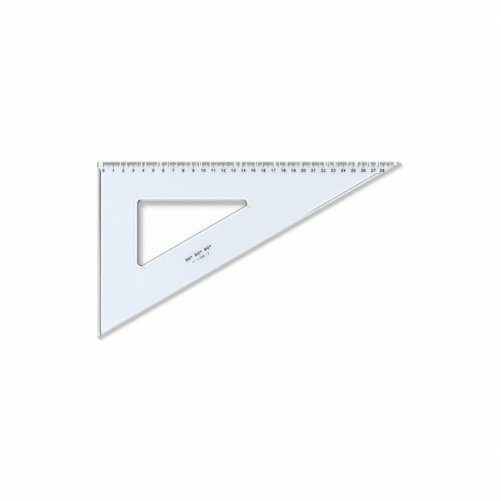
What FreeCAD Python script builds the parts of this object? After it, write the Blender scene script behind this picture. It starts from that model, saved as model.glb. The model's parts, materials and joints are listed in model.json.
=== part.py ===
import FreeCAD, Part
import math
import os

from FreeCAD import Vector

# A 30/60/90 degree set square of clear acrylic, lying on its flat underside.
# Millimetres. It is drawn from its right-angled corner: x runs along the graduated
# long leg towards the 30 degree tip, y is minus the depth below that leg, z is up.
# At the end everything moves so that the origin is the centre of the underside's box.

# ---- plate ----
long_leg = 305.0                # graduated edge, between its sharp corners
tip_angle = 30.0                # degrees, at the far end of the graduated edge
corner_radius = 0.5             # the outline's corners are just blunted
thickness = 3.0
edge_round = 0.3                # round along every edge of the outline

# ---- bevel that brings the graduation down to the paper ----
graduated_edge_thickness = 1.2
bevel_width = 5.7

# ---- stepped edges of the short leg and the hypotenuse ----
stepped_edge_thickness = 1.3
short_leg_step_width = 3.3
short_leg_step_foot_radius = 1.0
short_leg_step_shoulder_radius = 0.5
hypotenuse_step_width = 2.6
hypotenuse_step_foot_radius = 0.35
hypotenuse_step_shoulder_radius = 0.15
step_end_gap = 0.1              # from the bevel to the round end of the short leg's step

# ---- finger cut-out: borders and corners are those of its underside, where it is narrowest ----
cutout_short_leg_border = 41.1
cutout_graduated_border = 38.5
cutout_hypotenuse_border = 40.5
cutout_corner_radius = 3.1
cutout_wall_lean = 0.6          # its wall leans back by this from its foot to the rim bevel
cutout_edge_round = 0.7
rim_bevel_width = 4.0
rim_bevel_depth = 0.6

# ---- printed graduation ----
ink_thickness = 0.04
zero_inset = 6.3                # from the short leg to the zero line
graduation_pitch = 1.0
graduation_count = 295          # the last line, counted in millimetres from zero
lines_per_half = 5
lines_per_whole = 10
millimetre_tick_width = 0.5
half_centimetre_tick_width = 0.54
centimetre_tick_width = 0.58
tick_edge_gap = 0.05            # bare strip between the edge's round and the lines
millimetre_tick_length = 3.3
half_centimetre_tick_length = 4.9
centimetre_tick_length = 5.2
ink_edge_clearance = 0.2        # bare strip between any print and the hypotenuse

# ---- printed numbers along the graduation ----
numeral_count = 28
numeral_depth = 7.1             # from the graduated edge to the heads of the numbers
numeral_height = 3.3
numeral_width = 2.2
numeral_stroke = 0.78
numeral_gap = 0.35
step_to_numeral_clearance = 0.6

# ---- two lines of figures beside the hypotenuse ----
figures_along_hypotenuse = 130.0    # from the 60 degree corner to their middle
angle_figures_inset = 22.5          # from the hypotenuse to their middle
angle_figures_height = 3.0
angle_figures_width = 2.3
angle_figures_stroke = 0.78
angle_figures_gap = 0.65
angle_figures_word_gap = 3.0
ratio_figures_inset = 17.5
ratio_figures_height = 2.0
ratio_figures_width = 1.5
ratio_figures_stroke = 0.5
ratio_figures_gap = 0.5
ratio_figures_word_gap = 1.5

# ---- shapes of the figures, as shares of the cell that their strokes' middle lines fill ----
one_stem = 0.65
one_flag_start = 0.15
one_flag_height = 0.75
two_neck_turn = 30.0                # degrees past level, where its arc becomes its neck
three_middle_start = 0.3
four_stem = 0.72
four_level = 0.3
seven_foot = 0.3
bowl_radius = 0.28                  # of the five, six and nine, from the cell's height
arm_end = 0.9                       # of the five, six and nine
degree_radius = 0.25                # from the cell's height
colon_levels = (0.2, 0.7)

# ---- derived ----
overshoot = 2.0 * thickness     # how far a cutting tool reaches past what it cuts
coincidence = 0.001             # points closer than this are taken as one
tip = math.radians(tip_angle)
bevel_slope = (thickness - graduated_edge_thickness) / bevel_width
numeral_foot_depth = numeral_depth + numeral_height
short_leg = long_leg * math.tan(tip)
# a rounded corner ends short of the sharp one, along the leg that it closes
tip_shortfall = corner_radius * (1.0 / math.tan(tip / 2.0) - 1.0)
foot_shortfall = corner_radius * (1.0 / math.tan(math.pi / 4.0 - tip / 2.0) - 1.0)
overall_length = long_leg - tip_shortfall
overall_width = short_leg - foot_shortfall
to_box_centre = Vector(-overall_length / 2.0, overall_width / 2.0, 0.0)


def inset_triangle(from_short_leg, from_graduated_edge, from_hypotenuse):
    """Corners of the triangle whose sides lie that far inside the sides of the outline."""
    reach = long_leg * math.sin(tip) - from_hypotenuse
    foot_depth = (reach - from_short_leg * math.sin(tip)) / math.cos(tip)
    tip_x = (reach - from_graduated_edge * math.cos(tip)) / math.sin(tip)
    return [
        Vector(from_short_leg, -from_graduated_edge, 0.0),
        Vector(from_short_leg, -foot_depth, 0.0),
        Vector(tip_x, -from_graduated_edge, 0.0),
    ]


def rounded_outline(corners, radius, height):
    """Closed wire through the corners at one height, each corner rounded by an arc."""
    arcs = []
    for index, corner in enumerate(corners):
        before = (corners[index - 1] - corner).normalize()
        after = (corners[(index + 1) % len(corners)] - corner).normalize()
        half_angle = before.getAngle(after) / 2.0
        inward = (before + after).normalize()
        run = radius / math.tan(half_angle)
        middle = corner + inward * (radius / math.sin(half_angle) - radius)
        arcs.append([corner + before * run, middle, corner + after * run])
    edges = []
    for index, (start, middle, end) in enumerate(arcs):
        edges.append(Part.makeLine(arcs[index - 1][2], start))
        edges.append(Part.Arc(start, middle, end).toShape())
    wire = Part.Wire(edges)
    wire.translate(Vector(0.0, 0.0, height))
    return wire


def outline_wire():
    return rounded_outline(inset_triangle(0.0, 0.0, 0.0), corner_radius, 0.0)


def slab(wire, height):
    return Part.Face(wire).extrude(Vector(0.0, 0.0, height))


def cutout_wire(growth, height):
    """Outline of the cut-out's underside, with its sides and corners moved out by the growth."""
    corners = inset_triangle(
        cutout_short_leg_border - growth,
        cutout_graduated_border - growth,
        cutout_hypotenuse_border - growth,
    )
    return rounded_outline(corners, cutout_corner_radius + growth, height)


def edges_above(body, wire, low, high):
    """Edges of the body that lie straight above a wire, between two heights."""
    found = []
    for edge in body.Edges:
        first, last = edge.FirstParameter, edge.LastParameter
        points = [edge.valueAt(at) for at in (first, (first + last) / 2.0, last)]
        plan = [Part.Vertex(point.x, point.y, 0.0) for point in points]
        above = all(wire.distToShape(vertex)[0] < coincidence for vertex in plan)
        if above and edge.BoundBox.ZMin > low and edge.BoundBox.ZMax < high:
            found.append(edge)
    return found


def cutout_opening():
    """What the leaning walls of the cut-out enclose, from its underside up past the top."""
    lean_per_height = cutout_wall_lean / (thickness - rim_bevel_depth)
    high = thickness + overshoot
    wires = [cutout_wire(0.0, 0.0), cutout_wire(high * lean_per_height, high)]
    return Part.makeLoft(wires, True, True)


def rounded_wires(cutout_growth):
    """The outline and the cut-out, each with the round of its edges."""
    return ((outline_wire(), edge_round), (cutout_wire(cutout_growth, 0.0), cutout_edge_round))


def blank():
    """The triangle with its cut-out, at full thickness, with its underside edges rounded."""
    body = slab(outline_wire(), thickness).cut(cutout_opening())
    for wire, radius in rounded_wires(0.0):
        underside = edges_above(body, wire, -coincidence, coincidence)
        body = body.makeFillet(radius, underside)
    return body


def graduated_bevel():
    """Wedge taken off the top along the whole graduated edge."""
    section = Part.makePolygon([
        Vector(-overshoot, -bevel_width, thickness),
        Vector(-overshoot, overshoot, graduated_edge_thickness - overshoot * bevel_slope),
        Vector(-overshoot, overshoot, thickness + overshoot),
        Vector(-overshoot, -bevel_width, thickness + overshoot),
        Vector(-overshoot, -bevel_width, thickness),
    ])
    return Part.Face(section).extrude(Vector(long_leg + 2.0 * overshoot, 0.0, 0.0))


def rim_bevel():
    """Funnel taken off the top round the cut-out."""
    growth_per_height = rim_bevel_width / rim_bevel_depth
    low = thickness - rim_bevel_depth
    high = thickness + rim_bevel_depth
    wires = [
        cutout_wire(cutout_wall_lean, low),
        cutout_wire(cutout_wall_lean + (high - low) * growth_per_height, high),
    ]
    return Part.makeLoft(wires, True, True)


def step_section(start, width, foot_radius, shoulder_radius):
    """Rebate's section across an edge: x runs inwards from the edge, and z is up."""
    foot = Vector(width - foot_radius, 0.0, stepped_edge_thickness)
    foot_top = Vector(width, 0.0, stepped_edge_thickness + foot_radius)
    shoulder = Vector(width, 0.0, thickness - shoulder_radius)
    shoulder_top = Vector(width + shoulder_radius, 0.0, thickness)
    diagonal = math.sin(math.pi / 4.0)
    foot_middle = Vector(
        foot.x + foot_radius * diagonal,
        0.0,
        foot_top.z - foot_radius * diagonal,
    )
    shoulder_middle = Vector(
        shoulder_top.x - shoulder_radius * diagonal,
        0.0,
        shoulder.z + shoulder_radius * diagonal,
    )
    above_shoulder = Vector(shoulder_top.x, 0.0, thickness + overshoot)
    above_edge = Vector(start, 0.0, thickness + overshoot)
    beside_edge = Vector(start, 0.0, stepped_edge_thickness)
    section = Part.Wire([
        Part.makeLine(beside_edge, foot),
        Part.Arc(foot, foot_middle, foot_top).toShape(),
        Part.makeLine(foot_top, shoulder),
        Part.Arc(shoulder, shoulder_middle, shoulder_top).toShape(),
        Part.makeLine(shoulder_top, above_shoulder),
        Part.makeLine(above_shoulder, above_edge),
        Part.makeLine(above_edge, beside_edge),
    ])
    return Part.Face(section)


def edge_step(length, *sizes):
    """Rebate along an edge that runs along -y, with a round end about the origin."""
    run = step_section(-overshoot, *sizes).extrude(Vector(0.0, -length, 0.0))
    round_end = step_section(0.0, *sizes).revolve(Vector(), Vector(0.0, 0.0, 1.0), 180.0)
    return run.fuse(round_end)


def short_leg_step():
    """Step beside the short leg, from its round end below the bevel past the 60 degree corner."""
    reach = short_leg_step_width + short_leg_step_shoulder_radius
    step = edge_step(
        short_leg,
        short_leg_step_width,
        short_leg_step_foot_radius,
        short_leg_step_shoulder_radius,
    )
    step.translate(Vector(0.0, -bevel_width - step_end_gap - reach, 0.0))
    return step


def hypotenuse_step():
    """Step beside the hypotenuse, from its round end below the numbers past the corner."""
    reach = hypotenuse_step_width + hypotenuse_step_shoulder_radius
    end_depth = numeral_foot_depth + step_to_numeral_clearance + reach
    along = (short_leg - end_depth) / math.sin(tip)
    step = edge_step(
        along + overshoot,
        hypotenuse_step_width,
        hypotenuse_step_foot_radius,
        hypotenuse_step_shoulder_radius,
    )
    step = step.mirror(Vector(), Vector(1.0, 0.0, 0.0))
    step.rotate(Vector(), Vector(0.0, 0.0, 1.0), tip_angle - 90.0)
    step.translate(Vector(along * math.cos(tip), -end_depth, 0.0))
    return step


def plate():
    body = blank()
    for tool in (graduated_bevel(), rim_bevel(), short_leg_step(), hypotenuse_step()):
        body = body.cut(tool)
    for wire, radius in rounded_wires(cutout_wall_lean):
        upper = edges_above(body, wire, radius + coincidence, thickness + coincidence)
        body = body.makeFillet(radius, upper)
    return body


def bevel_height(depth):
    """Height of the bevel's surface at a depth below the graduated edge."""
    return graduated_edge_thickness + depth * bevel_slope


def tick(distance, length, width):
    """One line of ink on the bevel, kept clear of the hypotenuse, or None with no room."""
    x = zero_inset + distance
    room = (long_leg - x - width / 2.0) * math.tan(tip)
    room = room - ink_edge_clearance / math.cos(tip)
    start = edge_round + tick_edge_gap
    end = min(start + length, room)
    if end - start < width:
        return None
    side = x - width / 2.0
    section = Part.makePolygon([
        Vector(side, -start, bevel_height(start)),
        Vector(side, -end, bevel_height(end)),
        Vector(side, -end, bevel_height(end) + ink_thickness),
        Vector(side, -start, bevel_height(start) + ink_thickness),
        Vector(side, -start, bevel_height(start)),
    ])
    return Part.Face(section).extrude(Vector(width, 0.0, 0.0))


def graduation():
    """Three groups of lines: millimetres, half centimetres and whole centimetres."""
    sizes = {
        "millimetre_ticks": (millimetre_tick_length, millimetre_tick_width),
        "half_centimetre_ticks": (half_centimetre_tick_length, half_centimetre_tick_width),
        "centimetre_ticks": (centimetre_tick_length, centimetre_tick_width),
    }
    groups = {name: [] for name in sizes}
    for count in range(graduation_count + 1):
        if count % lines_per_whole == 0:
            name = "centimetre_ticks"
        elif count % lines_per_half == 0:
            name = "half_centimetre_ticks"
        else:
            name = "millimetre_ticks"
        line = tick(count * graduation_pitch, *sizes[name])
        if line:
            groups[name].append(line)
    return groups


def half_ring(x, y, radius, side):
    """Half circle that bulges to the right (side 1) or to the left (side -1)."""
    start = -90.0 * side
    return ("arc", (x, y), radius, start, start + 180.0)


def strokes_of_one(w, h):
    stem = one_stem * w
    flag = (one_flag_start * w, one_flag_height * h)
    return [("bar", (stem, 0.0), (stem, h)), ("bar", (stem, h), flag)]


def strokes_of_two(w, h):
    radius = w / 2.0
    turn = math.radians(two_neck_turn)
    leaving = (radius + radius * math.cos(turn), h - radius - radius * math.sin(turn))
    return [
        ("arc", (radius, h - radius), radius, -two_neck_turn, 180.0),
        ("bar", leaving, (0.0, 0.0)),
        ("bar", (0.0, 0.0), (w, 0.0)),
    ]


def strokes_of_three(w, h):
    radius = h / 4.0
    strokes = [half_ring(w - radius, level, radius, 1) for level in (radius, h - radius)]
    for level, left in ((0.0, 0.0), (h / 2.0, three_middle_start * w), (h, 0.0)):
        strokes.append(("bar", (left, level), (w - radius, level)))
    return strokes


def strokes_of_four(w, h):
    stem = four_stem * w
    level = four_level * h
    return [
        ("bar", (stem, 0.0), (stem, h)),
        ("bar", (stem, h), (0.0, level)),
        ("bar", (0.0, level), (w, level)),
    ]


def strokes_of_five(w, h):
    radius = bowl_radius * h
    return [
        ("bar", (arm_end * w, h), (0.0, h)),
        ("bar", (0.0, h), (0.0, 2.0 * radius)),
        ("bar", (0.0, 2.0 * radius), (w - radius, 2.0 * radius)),
        half_ring(w - radius, radius, radius, 1),
        ("bar", (w - radius, 0.0), (0.0, 0.0)),
    ]


def strokes_of_six(w, h):
    radius = bowl_radius * h
    return [
        half_ring(w - radius, radius, radius, 1),
        ("bar", (radius, 0.0), (w - radius, 0.0)),
        ("bar", (0.0, 2.0 * radius), (w - radius, 2.0 * radius)),
        ("arc", (radius, radius), radius, 180.0, 270.0),
        ("bar", (0.0, radius), (0.0, h - radius)),
        ("arc", (radius, h - radius), radius, 90.0, 180.0),
        ("bar", (radius, h), (arm_end * w, h)),
    ]


def strokes_of_seven(w, h):
    return [("bar", (0.0, h), (w, h)), ("bar", (w, h), (seven_foot * w, 0.0))]


def strokes_of_eight(w, h):
    radius = h / 4.0
    strokes = []
    for level in (radius, h - radius):
        strokes.append(half_ring(w - radius, level, radius, 1))
        strokes.append(half_ring(radius, level, radius, -1))
    for level in (0.0, h / 2.0, h):
        strokes.append(("bar", (radius, level), (w - radius, level)))
    return strokes


def strokes_of_nine(w, h):
    """A six turned half a turn about the middle of its cell."""
    strokes = []
    for stroke in strokes_of_six(w, h):
        if stroke[0] == "bar":
            ends = [(w - x, h - y) for x, y in stroke[1:]]
            strokes.append(("bar", ends[0], ends[1]))
        else:
            x, y = stroke[1]
            turned = (stroke[3] + 180.0, stroke[4] + 180.0)
            strokes.append(("arc", (w - x, h - y), stroke[2], turned[0], turned[1]))
    return strokes


def strokes_of_zero(w, h):
    radius = w / 2.0
    return [
        ("arc", (radius, radius), radius, 180.0, 360.0),
        ("arc", (radius, h - radius), radius, 0.0, 180.0),
        ("bar", (0.0, radius), (0.0, h - radius)),
        ("bar", (w, radius), (w, h - radius)),
    ]


def strokes_of_degree(w, h):
    radius = degree_radius * h
    return [("arc", (radius, h - radius), radius, 0.0, 360.0)]


def strokes_of_point(w, h):
    return [("dot", (0.0, 0.0))]


def strokes_of_colon(w, h):
    return [("dot", (0.0, level * h)) for level in colon_levels]


figure_strokes = {
    "0": strokes_of_zero,
    "1": strokes_of_one,
    "2": strokes_of_two,
    "3": strokes_of_three,
    "4": strokes_of_four,
    "5": strokes_of_five,
    "6": strokes_of_six,
    "7": strokes_of_seven,
    "8": strokes_of_eight,
    "9": strokes_of_nine,
    "°": strokes_of_degree,
    ".": strokes_of_point,
    ":": strokes_of_colon,
}


def dot_solid(centre, width):
    middle = Vector(centre[0], centre[1], 0.0)
    return [Part.makeCylinder(width / 2.0, ink_thickness, middle)]


def bar_solid(start, end, width):
    """Straight stroke with round ends."""
    run = math.hypot(end[0] - start[0], end[1] - start[1])
    body = Part.makeBox(run, width, ink_thickness, Vector(0.0, -width / 2.0, 0.0))
    turn = math.degrees(math.atan2(end[1] - start[1], end[0] - start[0]))
    body.rotate(Vector(), Vector(0.0, 0.0, 1.0), turn)
    body.translate(Vector(start[0], start[1], 0.0))
    return [body] + dot_solid(start, width) + dot_solid(end, width)


def arc_solid(centre, radius, start, end, width):
    """Part of a flat ring."""
    middle = Vector(centre[0], centre[1], 0.0)
    up = Vector(0.0, 0.0, 1.0)
    outer = Part.makeCylinder(radius + width / 2.0, ink_thickness, middle, up, end - start)
    inner = Part.makeCylinder(radius - width / 2.0, ink_thickness, middle, up, end - start)
    body = outer.cut(inner)
    body.rotate(middle, up, start)
    return [body]


stroke_makers = {"bar": bar_solid, "arc": arc_solid, "dot": dot_solid}


def figure(character, width, height, stroke):
    """One printed figure, its lower left corner at the origin."""
    pieces = []
    for kind, *values in figure_strokes[character](width - stroke, height - stroke):
        pieces.extend(stroke_makers[kind](*values, stroke))
    shape = pieces[0].multiFuse(pieces[1:]).removeSplitter() if pieces[1:] else pieces[0]
    shape.translate(Vector(stroke / 2.0, stroke / 2.0, 0.0))
    return shape


def figure_width(character, width, height, stroke):
    if character in ".:":
        return stroke
    if character == "°":
        return 2.0 * degree_radius * (height - stroke) + stroke
    return width


def figure_row(text, width, height, stroke, gap, word_gap):
    """Figures side by side, the middle of the row at the origin, and the row's length."""
    placed = []
    x = 0.0
    for character in text:
        if character == " ":
            x = x - gap + word_gap
            continue
        shape = figure(character, width, height, stroke)
        shape.translate(Vector(x, -height / 2.0, 0.0))
        placed.extend(shape.Solids)
        x = x + figure_width(character, width, height, stroke) + gap
    length = x - gap
    for solid in placed:
        solid.translate(Vector(-length / 2.0, 0.0, 0.0))
    return placed, length


def numerals():
    """A number below each whole centimetre line, the last one moved off the hypotenuse."""
    corner = (numeral_height - numeral_stroke) / 4.0 + numeral_stroke / 2.0
    corner_limit = (
        long_leg
        - (numeral_foot_depth - corner) / math.tan(tip)
        - (corner + ink_edge_clearance) / math.sin(tip)
    )
    solids = []
    for number in range(numeral_count + 1):
        row, length = figure_row(
            str(number), numeral_width, numeral_height, numeral_stroke, numeral_gap, 0.0
        )
        line_x = zero_inset + number * lines_per_whole * graduation_pitch
        x = min(line_x, corner_limit + corner - length / 2.0)
        for solid in row:
            solid.translate(Vector(x, -numeral_depth - numeral_height / 2.0, thickness))
        solids.extend(row)
    return solids


def beside_hypotenuse(row, inset):
    """Puts a row of figures along the hypotenuse, its middle the inset away from it."""
    along = Vector(math.cos(tip), math.sin(tip), 0.0) * figures_along_hypotenuse
    inwards = Vector(-math.sin(tip), math.cos(tip), 0.0) * inset
    for solid in row:
        solid.rotate(Vector(), Vector(0.0, 0.0, 1.0), tip_angle)
        solid.translate(Vector(0.0, -short_leg, thickness) + along + inwards)
    return row


def angle_figures():
    row, _ = figure_row(
        "30° 60° 90°",
        angle_figures_width,
        angle_figures_height,
        angle_figures_stroke,
        angle_figures_gap,
        angle_figures_word_gap,
    )
    return beside_hypotenuse(row, angle_figures_inset)


def side_ratio_figures():
    """The lengths of the sides of a 30/60/90 degree triangle against each other."""
    row, _ = figure_row(
        "1 : 1.732 : 2",
        ratio_figures_width,
        ratio_figures_height,
        ratio_figures_stroke,
        ratio_figures_gap,
        ratio_figures_word_gap,
    )
    return beside_hypotenuse(row, ratio_figures_inset)


def main():
    nodes = {"plate": plate().Solids}
    nodes.update(graduation())
    nodes["numerals"] = numerals()
    nodes["angle_figures"] = angle_figures()
    nodes["side_ratio_figures"] = side_ratio_figures()
    os.makedirs("parts", exist_ok=True)
    for name, solids in nodes.items():
        shape = Part.makeCompound(solids)
        shape.translate(to_box_centre)
        shape.exportStep("parts/" + name + ".step")


main()
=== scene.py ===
import json
import math

import bpy
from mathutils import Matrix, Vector


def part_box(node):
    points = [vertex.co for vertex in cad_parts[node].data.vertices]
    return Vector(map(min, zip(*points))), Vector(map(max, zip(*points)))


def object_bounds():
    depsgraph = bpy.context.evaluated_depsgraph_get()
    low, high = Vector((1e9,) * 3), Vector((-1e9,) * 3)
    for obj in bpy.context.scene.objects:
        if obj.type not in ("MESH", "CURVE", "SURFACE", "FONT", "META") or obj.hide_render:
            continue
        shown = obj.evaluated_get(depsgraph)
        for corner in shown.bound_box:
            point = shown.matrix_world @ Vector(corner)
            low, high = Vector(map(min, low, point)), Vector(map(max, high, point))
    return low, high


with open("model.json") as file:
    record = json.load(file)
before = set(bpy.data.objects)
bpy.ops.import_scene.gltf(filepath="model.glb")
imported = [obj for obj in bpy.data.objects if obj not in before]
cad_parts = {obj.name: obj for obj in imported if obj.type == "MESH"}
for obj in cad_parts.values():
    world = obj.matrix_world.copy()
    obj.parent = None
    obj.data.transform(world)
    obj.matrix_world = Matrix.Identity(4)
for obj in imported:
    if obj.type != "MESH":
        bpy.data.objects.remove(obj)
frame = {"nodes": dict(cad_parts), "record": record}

# A clear set square lying on a white table, seen from straight above.
# Metres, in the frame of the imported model. Every place comes from the model's boxes and edges.

cad_low, cad_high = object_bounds()
plate_low, plate_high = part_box("plate")
plate_middle = (plate_low + plate_high) / 2.0

MILLIMETRE = 0.001
WHITE = (1.0, 1.0, 1.0, 1.0)
thickness = plate_high[2] - plate_low[2]
edges = {mount["name"]: mount for mount in frame["record"]["mounts"]}

# ---- stepped edges, bevel and cut-out, as the plate has them ----
bevel_foot_height = 1.2 * MILLIMETRE
bevel_width = 5.7 * MILLIMETRE
rim_height = 2.4 * MILLIMETRE           # where the cut-out's rim bevel meets its wall
rim_top_height = 2.475 * MILLIMETRE     # top of the round between them
step_height = 1.3 * MILLIMETRE
short_leg_step_reach = 3.8 * MILLIMETRE     # from the edge to the top of the step's shoulder
hypotenuse_step_reach = 2.75 * MILLIMETRE
strip_soft = 0.1 * MILLIMETRE           # how gently the strip of a step begins and ends
outline_reach = 1.5 * MILLIMETRE        # a painted dark outline of shade lies within this of its edge
cutout_reach = 20.0 * MILLIMETRE        # only the cut-out lies this deep inside the plate

# ---- heights that tell the faces apart ----
top_face_low = 0.95 * thickness
rim_highlight_heights = (0.86 * thickness, 0.925 * thickness)   # the middle of the rim bevel, where a highlight is painted
rim_highlight_soft = 0.01 * thickness
rim_painted_shade_heights = (0.94 * thickness, 0.99 * thickness)    # and its outer part, where shade is painted
rim_painted_shade_soft = 0.008 * thickness
step_face_heights = (0.8 * step_height, 1.2 * step_height)
step_face_soft = 0.1 * step_height

# ---- how level a face is: one where it lies flat, nought where it stands upright ----
outline_levels = (0.78, 0.96)           # from painted dark to clear, along the outline
line_levels = (0.9, 0.985)              # and at the steps and the cut-out's wall
wall_levels = (0.35, 0.93)              # from blocking the lamps' light to passing it

# ---- painted dark lines of shade and painted pale lines of light ----
line_thin = 2.95 * MILLIMETRE           # where the short leg's painted dark line starts, low down
line_heavy = 2.3 * MILLIMETRE           # and high up, past heavy_line_ys
line_end = 3.7 * MILLIMETRE
heavy_line_ys = (plate_middle[1] - 35.0 * MILLIMETRE, plate_middle[1] + 45.0 * MILLIMETRE)
round_end_depths = (7.5 * MILLIMETRE, 10.5 * MILLIMETRE)    # where its step's round end turns straight
tip_line_depth = 2.15 * MILLIMETRE      # where the hypotenuse's painted dark line starts, past tip_line_xs
tip_line_top = 11.2 * MILLIMETRE        # and how near it comes to the graduated edge
tip_line_xs = (plate_middle[0] + 45.0 * MILLIMETRE, plate_middle[0] + 70.0 * MILLIMETRE)
tip_gleam_depths = (0.5 * MILLIMETRE, 1.4 * MILLIMETRE)     # a painted pale line of light outside it
tip_gleam_soft = 0.4 * MILLIMETRE
tip_gleam_xs = (plate_middle[0] + 45.0 * MILLIMETRE, plate_middle[0] + 120.0 * MILLIMETRE)
tip_gleam_share = 0.5
light_line_width = 1.6 * MILLIMETRE    # painted light that a step's wall would gather beside it
light_line_soft = 0.5 * MILLIMETRE
short_leg_shade_depths = (0.3 * MILLIMETRE, 1.5 * MILLIMETRE)    # where a strip's painted shade turns
hypotenuse_shade_depths = (0.1 * MILLIMETRE, 2.2 * MILLIMETRE)
bevel_end_reach = 1.4 * MILLIMETRE      # of the painted shade at the end of the graduated bevel
bevel_end_soft = 0.3 * MILLIMETRE

# ---- acrylic ----
acrylic_ior = 1.49
paleness_depths = (10.0 * MILLIMETRE, 140.0 * MILLIMETRE)   # from the short leg, palest first
noise_middle = 0.5
cloud_scale = 30.0
waviness_scale = 60.0
waviness_height = 0.6                   # beside scratches one high
scratch_runs = ((0.35, (9000.0, 60.0, 60.0)), (-0.9, (7000.0, 45.0, 45.0)))  # turn and scale
scratch_levels = (0.72, 0.8)            # of the noise that is cut into scratches
relief_strength = 0.12
relief_depth = 0.04 * MILLIMETRE
smear_scale = 25.0
smear_detail = 4.0
smear_levels = (0.35, 0.75)
polish = (0.015, 0.06)                  # roughness, from clean to smeared
bounces_kept = 4.0                      # a ray past these goes straight through the plate

# ---- light at a wall ----
upper_wall_leak = 0.4                   # share that passes the wall below the graduated border
upper_wall_down = (0.15, 0.4)           # how far that wall faces down the plate
upper_wall_aside = (0.1, 0.3)           # and how little to a side
corner_facing = (0.1, 0.4)              # how far the cut-out's first corner faces both ways
lee_turn = 0.3                          # facing this far along the light's way is in the lee
cutout_gleam = 0.3                      # light that the top of a wall lets through
cutout_gleam_heights = (0.1 * rim_height, 0.9 * rim_height)
cutout_gleam_facing = 0.7               # how far it faces along x to let that much through
outer_gleam = 0.3
outer_gleam_heights = (0.15 * step_height, step_height)

# ---- print ----
line_margin = 0.21 * MILLIMETRE         # half the gap beside the scale's first line
scale_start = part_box("centimetre_ticks")[0][0] - line_margin
wear_seed = 20.0                        # picks which millimetres are worn
wear_levels = (0.62, 0.88)              # of the draws, from sound to worn
fleck_scale = 2500.0
fleck_detail = 3.0
thin_levels = (0.55, 0.8)               # of the flecks, from sound to thin ink
sheen_levels = (0.3, 0.7)
ink_roughness = (0.42, 0.62)
ink_specular = 0.05
grain_scale = 9000.0
grain_strength = 0.3
grain_depth = 0.01 * MILLIMETRE
coarse_noise = 0.6                      # roughness of the noise of flecks and smears

# ---- camera ----
view_width = 501 * MILLIMETRE           # what the frame shows at the plate
camera_height = 1.5
camera_near = 0.01
camera_far = 20.0
sensor_width = 36.0                     # millimetres, as the lens is
view_offset = (1.68 * MILLIMETRE, -0.94 * MILLIMETRE)

# ---- light and table ----
shadow_run = (2.45, -2.95)              # how far a shadow runs in x and y for each unit of height
light_way = Vector((*shadow_run, 0.0)).normalized()
sun_strength = 5.92
sun_size = 11.0                         # degrees, which sets how soft the shadows are
sky_strength = 0.54
table_reach = 4.0
table_gap = 0.01 * MILLIMETRE           # between the table and the plate's underside
table_roughness = 0.9

# ---- colours, linear ----
table_colour = (0.975, 0.985, 0.965, 1.0)
full_tint_deep = (0.675, 0.723, 0.845, 1.0)     # a full thickness lets this through, squared
full_tint_pale = (0.708, 0.779, 0.958, 1.0)
clear_tint = (0.93, 0.95, 0.98, 1.0)
rim_highlight_tint = (0.84, 0.89, 0.97, 1.0)      # painted highlight on the middle of the cut-out's rim bevel
rim_painted_shade_tint = (0.61, 0.68, 0.83, 1.0)        # and painted shade on its outer part
# painted shade at the end of the graduated bevel
bevel_end_shade = (0.4, 0.41, 0.43, 1.0)
# painted shade of the stepped strips, at their edge and inside
short_leg_shade_outer = (0.59, 0.6, 0.635, 1.0)
short_leg_shade_inner = (0.48, 0.5, 0.53, 1.0)
hypotenuse_shade_outer = (0.42, 0.44, 0.46, 1.0)
hypotenuse_shade_inner = (0.78, 0.82, 0.9, 1.0)
painted_light_tint = (0.88, 0.93, 1.0, 1.0)      # of the painted pale lines of light
# painted shade of the steep walls, the outline and the steps' dark lines; in the cut-out's first
# corner also what a wall lets through of the light there, which is none
wall_shade_black = (0.004, 0.005, 0.006, 1.0)
upper_wall_shade = (0.43, 0.47, 0.54, 1.0)       # painted shade, lighter, of the wall below the graduated border
wall_shadow = (0.04, 0.045, 0.05, 1.0)  # what a wall lets through of the key light
lee_haze = (0.12, 0.125, 0.13, 1.0)     # of the light from all round, away from the key light
bright_haze = (0.92, 0.925, 0.93, 1.0)  # and towards it
cutout_haze = (0.55, 0.56, 0.57, 1.0)   # and towards it inside the cut-out
ink_colour = (0.012, 0.012, 0.014, 1.0)
thin_ink_colour = (0.05, 0.05, 0.055, 1.0)
worn_ink_colour = (0.6, 0.6, 0.63, 1.0)


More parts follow.
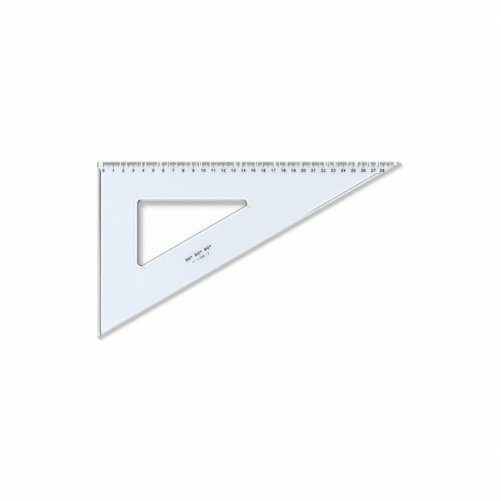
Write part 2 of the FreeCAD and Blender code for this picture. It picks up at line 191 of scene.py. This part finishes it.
class Tree:
    """A material's or world's nodes, with short calls for adding and linking them."""

    def __init__(self, owner):
        owner.use_nodes = True
        self.nodes = owner.node_tree.nodes
        self.links = owner.node_tree.links
        self.nodes.clear()

    def add(self, kind, inputs=(), **settings):
        node = self.nodes.new(kind)
        for name, value in settings.items():
            setattr(node, name, value)
        for key, value in dict(inputs).items():
            self.put(node.inputs[key], value)
        return node

    def put(self, socket, value):
        if isinstance(value, bpy.types.NodeSocket):
            self.links.new(value, socket)
        else:
            socket.default_value = value

    def math(self, operation, a, b=0.0):
        return self.add("ShaderNodeMath", {0: a, 1: b}, operation=operation).outputs[0]

    def above(self, value, limit):
        return self.math("GREATER_THAN", value, limit)

    def below(self, value, limit):
        return self.math("LESS_THAN", value, limit)

    def product(self, first, *others):
        for other in others:
            first = self.math("MULTIPLY", first, other)
        return first

    def largest(self, first, *others):
        for other in others:
            first = self.math("MAXIMUM", first, other)
        return first

    def opposite(self, value):
        """Nought for one, and one for nought."""
        return self.math("SUBTRACT", 1.0, value)

    def ramp(self, value, low, high, start=0.0, end=1.0):
        """The value's way from low to high, taken smoothly from start to end."""
        inputs = {"Value": value, "From Min": low, "From Max": high, "To Min": start, "To Max": end}
        return self.add("ShaderNodeMapRange", inputs, interpolation_type="SMOOTHSTEP").outputs[0]

    def band(self, value, low, high, soft):
        """One between two values, and nought outside them, with soft ends."""
        after = self.ramp(value, low - soft, low + soft)
        before = self.ramp(value, high - soft, high + soft, 1.0, 0.0)
        return self.product(after, before)

    def blend(self, factor, a, b):
        return self.add("ShaderNodeMix", {0: factor, 6: a, 7: b}, data_type="RGBA").outputs[2]

    def dot(self, a, b):
        node = self.add("ShaderNodeVectorMath", {0: a, 1: b}, operation="DOT_PRODUCT")
        return node.outputs["Value"]

    def noise(self, place, scale, detail, roughness=0.5):
        inputs = {"Vector": place, "Scale": scale, "Detail": detail, "Roughness": roughness}
        return self.add("ShaderNodeTexNoise", inputs).outputs[0]

    def bump(self, height, strength, depth):
        inputs = {"Height": height, "Strength": strength, "Distance": depth}
        return self.add("ShaderNodeBump", inputs).outputs[0]


def depth_inside(tree, place, edge):
    """How far a place lies inside one of the plate's outer edges."""
    offset = tree.add("ShaderNodeVectorMath", {0: place, 1: edge["pos_m"]}, operation="SUBTRACT")
    return tree.product(tree.dot(offset.outputs[0], edge["axis"]), -1.0)


def step_strip(tree, depth, reach):
    """The strip of a stepped edge."""
    return tree.band(depth, -reach, reach, strip_soft)


class Spot:
    """A spot on the plate's surface, as node outputs: where it is and which way it faces."""

    def __init__(self, tree):
        self.place = tree.add("ShaderNodeTexCoord").outputs["Object"]
        parts = tree.add("ShaderNodeSeparateXYZ", {"Vector": self.place})
        self.x, self.y, self.height = parts.outputs

        geometry = tree.add("ShaderNodeNewGeometry")
        self.normal = geometry.outputs["Normal"]
        self.outside = tree.opposite(geometry.outputs["Backfacing"])
        parts = tree.add("ShaderNodeSeparateXYZ", {"Vector": self.normal})
        self.facing_x = parts.outputs["X"]
        self.facing_down = tree.product(parts.outputs["Y"], -1.0)
        self.levelness = tree.math("ABSOLUTE", parts.outputs["Z"])

        self.graduated_depth = depth_inside(tree, self.place, edges["graduated_edge"])
        self.short_depth = depth_inside(tree, self.place, edges["short_leg_edge"])
        self.long_depth = depth_inside(tree, self.place, edges["hypotenuse_edge"])

        # one on each strip, near the tip and in the cut-out, and nought elsewhere
        self.below_bevel = tree.above(self.graduated_depth, bevel_width)
        short_edge = step_strip(tree, self.short_depth, short_leg_step_reach)
        self.short_strip = tree.product(self.below_bevel, short_edge)
        self.long_edge = step_strip(tree, self.long_depth, hypotenuse_step_reach)
        self.long_strip = tree.product(self.below_bevel, self.long_edge)
        self.near_tip = tree.ramp(self.x, *tip_line_xs)
        self.in_cutout = tree.product(
            self.below_bevel, tree.above(self.short_depth, cutout_reach),
            tree.above(self.long_depth, cutout_reach))

        # one where the surface has turned steep, then only on the cut-out's wall, and then only
        # on the wall below the graduated border
        self.turned = tree.ramp(self.levelness, *line_levels, 1.0, 0.0)
        self.cutout_wall = tree.product(
            self.turned, self.in_cutout, tree.below(self.height, rim_top_height))
        self.upper_wall = tree.product(
            tree.ramp(self.facing_down, *upper_wall_down),
            tree.ramp(tree.math("ABSOLUTE", self.facing_x), *upper_wall_aside, 1.0, 0.0),
            self.cutout_wall)


def dark_outline_shade(tree, spot):
    """Where the plate's painted dark outline of shade lies: where its surface turns steep, but not the
    wall of a step.
    """
    steep = tree.ramp(spot.levelness, *outline_levels, 1.0, 0.0)
    long_step = tree.product(spot.long_strip, tree.above(spot.long_depth, outline_reach))
    return tree.product(steep, tree.opposite(spot.short_strip), tree.opposite(long_step))


def short_leg_shade_line(tree, spot):
    """The painted dark line of shade at the short leg's step. It grows heavier high up and has a round
    end.
    """
    start = tree.ramp(spot.y, *heavy_line_ys, line_thin, line_heavy)
    straight = tree.above(spot.short_depth, start)
    at_end = tree.product(tree.above(spot.short_depth, outline_reach),
                          tree.ramp(spot.graduated_depth, *round_end_depths, 1.0, 0.0))
    line = tree.blend(at_end, straight, spot.turned)
    return tree.product(line, spot.short_strip, tree.below(spot.short_depth, line_end))


def hypotenuse_shade_line(tree, spot):
    """The painted dark line of shade at the hypotenuse's step, which shows only near the tip."""
    straight = tree.product(tree.above(spot.long_depth, tip_line_depth),
                            tree.above(spot.graduated_depth, tip_line_top))
    return tree.product(tree.largest(spot.turned, straight), spot.long_strip,
                        tree.above(spot.long_depth, outline_reach), spot.near_tip)


def body_tint(tree, spot):
    """The plate's colour, which deepens with its height and away from the short leg."""
    cloud = tree.math("SUBTRACT", tree.noise(spot.place, cloud_scale, detail=2.0), noise_middle)
    paleness = tree.ramp(spot.short_depth, *paleness_depths, 1.0, 0.0)
    full = tree.blend(tree.math("ADD", paleness, cloud), full_tint_deep, full_tint_pale)
    return tree.blend(tree.ramp(spot.height, bevel_foot_height, thickness), clear_tint, full)


def with_rim_highlight_and_shade(tree, spot, tint):
    """Adds the painted highlight band and the painted shade band of the cut-out's rim bevel."""
    light = tree.band(spot.height, *rim_highlight_heights, rim_highlight_soft)
    tint = tree.blend(tree.product(light, spot.in_cutout), tint, rim_highlight_tint)
    shade = tree.band(spot.height, *rim_painted_shade_heights, rim_painted_shade_soft)
    return tree.blend(tree.product(shade, spot.in_cutout), tint, rim_painted_shade_tint)


def with_painted_light_lines(tree, spot, tint):
    """Adds painted lines of light where the walls of the steps would gather light on the top face
    beside them.
    """
    short = tree.band(spot.short_depth, short_leg_step_reach,
                      short_leg_step_reach + light_line_width, light_line_soft)
    long = tree.band(spot.long_depth, hypotenuse_step_reach,
                     hypotenuse_step_reach + light_line_width, light_line_soft)
    line = tree.largest(short, tree.product(long, spot.near_tip))
    on_top = tree.above(spot.height, top_face_low)
    return tree.blend(tree.product(line, on_top, spot.below_bevel), tint, painted_light_tint)


def with_strip_shade(tree, spot, tint):
    """Adds the painted shade of the two stepped strips, and a painted pale line of light near the tip.
    """
    on_step = tree.band(spot.height, *step_face_heights, step_face_soft)
    short = tree.blend(tree.ramp(spot.short_depth, *short_leg_shade_depths),
                       short_leg_shade_outer, short_leg_shade_inner)
    long = tree.blend(tree.ramp(spot.long_depth, *hypotenuse_shade_depths),
                      hypotenuse_shade_outer, hypotenuse_shade_inner)
    gleam = tree.product(tree.band(spot.long_depth, *tip_gleam_depths, tip_gleam_soft),
                         tree.ramp(spot.x, *tip_gleam_xs, 0.0, tip_gleam_share))
    long = tree.blend(gleam, long, painted_light_tint)
    tint = tree.blend(tree.product(spot.short_strip, on_step), tint, short)
    return tree.blend(tree.product(spot.long_strip, on_step), tint, long)


def with_bevel_end_shade(tree, spot, tint):
    """Paints shade on the end of the graduated bevel, at the short leg."""
    at_end = tree.band(spot.short_depth, -bevel_end_reach, bevel_end_reach, bevel_end_soft)
    return tree.blend(tree.product(at_end, tree.opposite(spot.below_bevel)), tint, bevel_end_shade)


def acrylic_colour(tree, spot):
    tint = body_tint(tree, spot)
    for layer in (with_rim_highlight_and_shade, with_painted_light_lines, with_strip_shade, with_bevel_end_shade):
        tint = layer(tree, spot, tint)
    # painted shade: the dark outline, the steps' dark lines and the cut-out's wall
    dark = tree.largest(dark_outline_shade(tree, spot), short_leg_shade_line(tree, spot),
                        hypotenuse_shade_line(tree, spot), spot.cutout_wall)
    return tree.blend(dark, tint, tree.blend(spot.upper_wall, wall_shade_black, upper_wall_shade))


def acrylic_relief(tree, place):
    """A moulded face's slight waves, and hairline scratches of noise drawn out over a hundredfold."""
    relief = tree.product(tree.noise(place, waviness_scale, detail=1.0), waviness_height)
    for turn, scale in scratch_runs:
        drawn = tree.add("ShaderNodeMapping", {"Vector": place, "Rotation": (0.0, 0.0, turn),
                                               "Scale": scale})
        lines = tree.noise(drawn.outputs[0], scale=1.0, detail=1.0)
        cut = tree.ramp(lines, *scratch_levels)
        relief = tree.math("SUBTRACT", relief, cut)
    return tree.bump(relief, relief_strength, relief_depth)


def blocked_share(tree, spot):
    """How far a spot holds the lamps' light back: as a wall that light meets from outside."""
    cutout_wall = tree.math("SUBTRACT", spot.cutout_wall,
                            tree.product(spot.upper_wall, upper_wall_leak))
    wall = tree.largest(tree.ramp(spot.levelness, *wall_levels, 1.0, 0.0), cutout_wall)
    step_wall = tree.product(tree.largest(spot.short_strip, spot.long_edge),
                             tree.above(spot.height, step_height))
    return tree.product(wall, spot.outside, tree.opposite(step_wall))


def dimmed_light(tree, spot, is_diffuse):
    """What a wall lets through of the key light, and of the light from all round."""
    lee = tree.ramp(tree.dot(spot.normal, light_way), -lee_turn, lee_turn)
    haze = tree.blend(lee, tree.blend(spot.in_cutout, bright_haze, cutout_haze), lee_haze)
    inner = tree.ramp(spot.height, *cutout_gleam_heights, 0.0,
                      tree.ramp(spot.facing_x, 0.0, cutout_gleam_facing, 0.0, cutout_gleam))
    outer = tree.ramp(spot.height, *outer_gleam_heights, 0.0, outer_gleam)
    key = tree.blend(tree.blend(spot.in_cutout, outer, inner), wall_shadow, WHITE)
    dimmed = tree.blend(is_diffuse, key, haze)
    in_corner = tree.product(tree.ramp(spot.facing_x, *corner_facing),
                             tree.ramp(spot.facing_down, *corner_facing), spot.in_cutout)
    return tree.blend(in_corner, dimmed, wall_shade_black)


def acrylic():
    """Clear moulded acrylic. Its depth of colour follows the height of its surface, its steep
    walls and the lines of its steps carry painted shade, with painted lines of light and a painted
    highlight on the cut-out's rim, and light passes its faces but not the walls that it meets from
    outside."""
    material = bpy.data.materials.new("clear_acrylic")
    tree = Tree(material)
    spot = Spot(tree)
    smears = tree.noise(spot.place, smear_scale, smear_detail, coarse_noise)
    glass = tree.add("ShaderNodeBsdfPrincipled", {
        "Base Color": acrylic_colour(tree, spot),
        "Roughness": tree.ramp(smears, *smear_levels, *polish),
        "IOR": acrylic_ior,
        "Transmission Weight": 1.0,
        "Normal": acrylic_relief(tree, spot.place),
    })
    path = tree.add("ShaderNodeLightPath").outputs
    passed = tree.blend(blocked_share(tree, spot), WHITE,
                        dimmed_light(tree, spot, path["Is Diffuse Ray"]))
    through = tree.add("ShaderNodeBsdfTransparent", {"Color": passed})
    unbent = tree.largest(path["Is Shadow Ray"], path["Is Diffuse Ray"],
                          tree.above(path["Ray Depth"], bounces_kept))
    mix = tree.add("ShaderNodeMixShader", {0: unbent, 1: glass.outputs[0],
                                           2: through.outputs[0]})
    tree.add("ShaderNodeOutputMaterial", {"Surface": mix.outputs[0]})
    return material


def worn_share(tree, place, fading):
    """How far each millimetre of the scale is worn, from one random draw for each."""
    x = tree.add("ShaderNodeSeparateXYZ", {"Vector": place}).outputs["X"]
    along = tree.math("DIVIDE", tree.math("SUBTRACT", x, scale_start), MILLIMETRE)
    turn = tree.math("ADD", tree.math("FLOOR", along), wear_seed)
    draw = tree.add("ShaderNodeTexWhiteNoise", {"W": turn}, noise_dimensions="1D")
    return tree.ramp(draw.outputs["Value"], *wear_levels, 0.0, fading)


def ink(name, fading):
    """Matt black print with faint thin flecks. Single millimetres of it are worn paler, by up
    to fading."""
    material = bpy.data.materials.new(name)
    tree = Tree(material)
    place = tree.add("ShaderNodeTexCoord").outputs["Object"]
    flecks = tree.noise(place, fleck_scale, fleck_detail, coarse_noise)
    sound = tree.blend(tree.ramp(flecks, *thin_levels), ink_colour, thin_ink_colour)
    grain = tree.noise(place, grain_scale, detail=2.0)
    shader = tree.add("ShaderNodeBsdfPrincipled", {
        "Base Color": tree.blend(worn_share(tree, place, fading), sound, worn_ink_colour),
        "Roughness": tree.ramp(flecks, *sheen_levels, *ink_roughness),
        "Specular IOR Level": ink_specular,
        "Normal": tree.bump(grain, grain_strength, grain_depth),
    })
    tree.add("ShaderNodeOutputMaterial", {"Surface": shader.outputs[0]})
    return material


def dress(node, material):
    """Gives a CAD node's object its material."""
    for slot in frame["nodes"][node].material_slots:
        slot.material = material


def white_table():
    material = bpy.data.materials.new("white_table")
    tree = Tree(material)
    shader = tree.add("ShaderNodeBsdfPrincipled", {
        "Base Color": table_colour,
        "Roughness": table_roughness,
        "Specular IOR Level": 0.0,
    })
    tree.add("ShaderNodeOutputMaterial", {"Surface": shader.outputs[0]})
    return material


def table():
    level = cad_low[2] - table_gap
    corners = [(x * table_reach, y * table_reach, level)
               for x, y in ((-1, -1), (1, -1), (1, 1), (-1, 1))]
    mesh = bpy.data.meshes.new("table_top")
    mesh.from_pydata(corners, [], [(0, 1, 2, 3)])
    mesh.materials.append(white_table())
    table_top = bpy.data.objects.new("table_top", mesh)
    bpy.context.scene.collection.objects.link(table_top)


def sky():
    """White where it is seen, mirrored or looked at through the plate, and dimmer as a lamp."""
    world = bpy.data.worlds.new("studio")
    bpy.context.scene.world = world
    tree = Tree(world)
    path = tree.add("ShaderNodeLightPath").outputs
    seen = tree.largest(path["Is Camera Ray"], path["Is Glossy Ray"],
                        path["Is Transmission Ray"])
    strength = tree.ramp(seen, 0.0, 1.0, sky_strength, 1.0)
    background = tree.add("ShaderNodeBackground", {"Color": WHITE, "Strength": strength})
    tree.add("ShaderNodeOutputWorld", {"Surface": background.outputs[0]})


def key_light():
    lamp = bpy.data.lights.new("key", "SUN")
    lamp.energy = sun_strength
    lamp.angle = math.radians(sun_size)
    key = bpy.data.objects.new("key", lamp)
    key.rotation_mode = "QUATERNION"
    key.rotation_quaternion = Vector((*shadow_run, -1.0)).to_track_quat("-Z", "Y")
    key.visible_glossy = False
    bpy.context.scene.collection.objects.link(key)


def camera():
    data = bpy.data.cameras.new("camera")
    data.sensor_width = sensor_width
    data.lens = sensor_width * camera_height / view_width
    data.clip_start = camera_near
    data.clip_end = camera_far
    eye = bpy.data.objects.new("camera", data)
    middle = (cad_low + cad_high) / 2.0
    eye.location = (middle[0] + view_offset[0], middle[1] + view_offset[1],
                    cad_high[2] + camera_height)
    bpy.context.scene.collection.objects.link(eye)
    bpy.context.scene.camera = eye


dress("plate", acrylic())
# each ink's name, how far its worn millimetres fade, and what is printed with it
for name, fading, nodes in (
    ("millimetre_ink", 1.0, ("millimetre_ticks",)),
    ("scale_ink", 0.3, ("half_centimetre_ticks", "centimetre_ticks")),
    ("figure_ink", 0.1, ("numerals", "angle_figures", "side_ratio_figures")),
):
    print_ink = ink(name, fading)
    for node in nodes:
        dress(node, print_ink)
        frame["nodes"][node].visible_shadow = False
table()
sky()
key_light()
camera()
bpy.context.scene.view_settings.view_transform = "Standard"
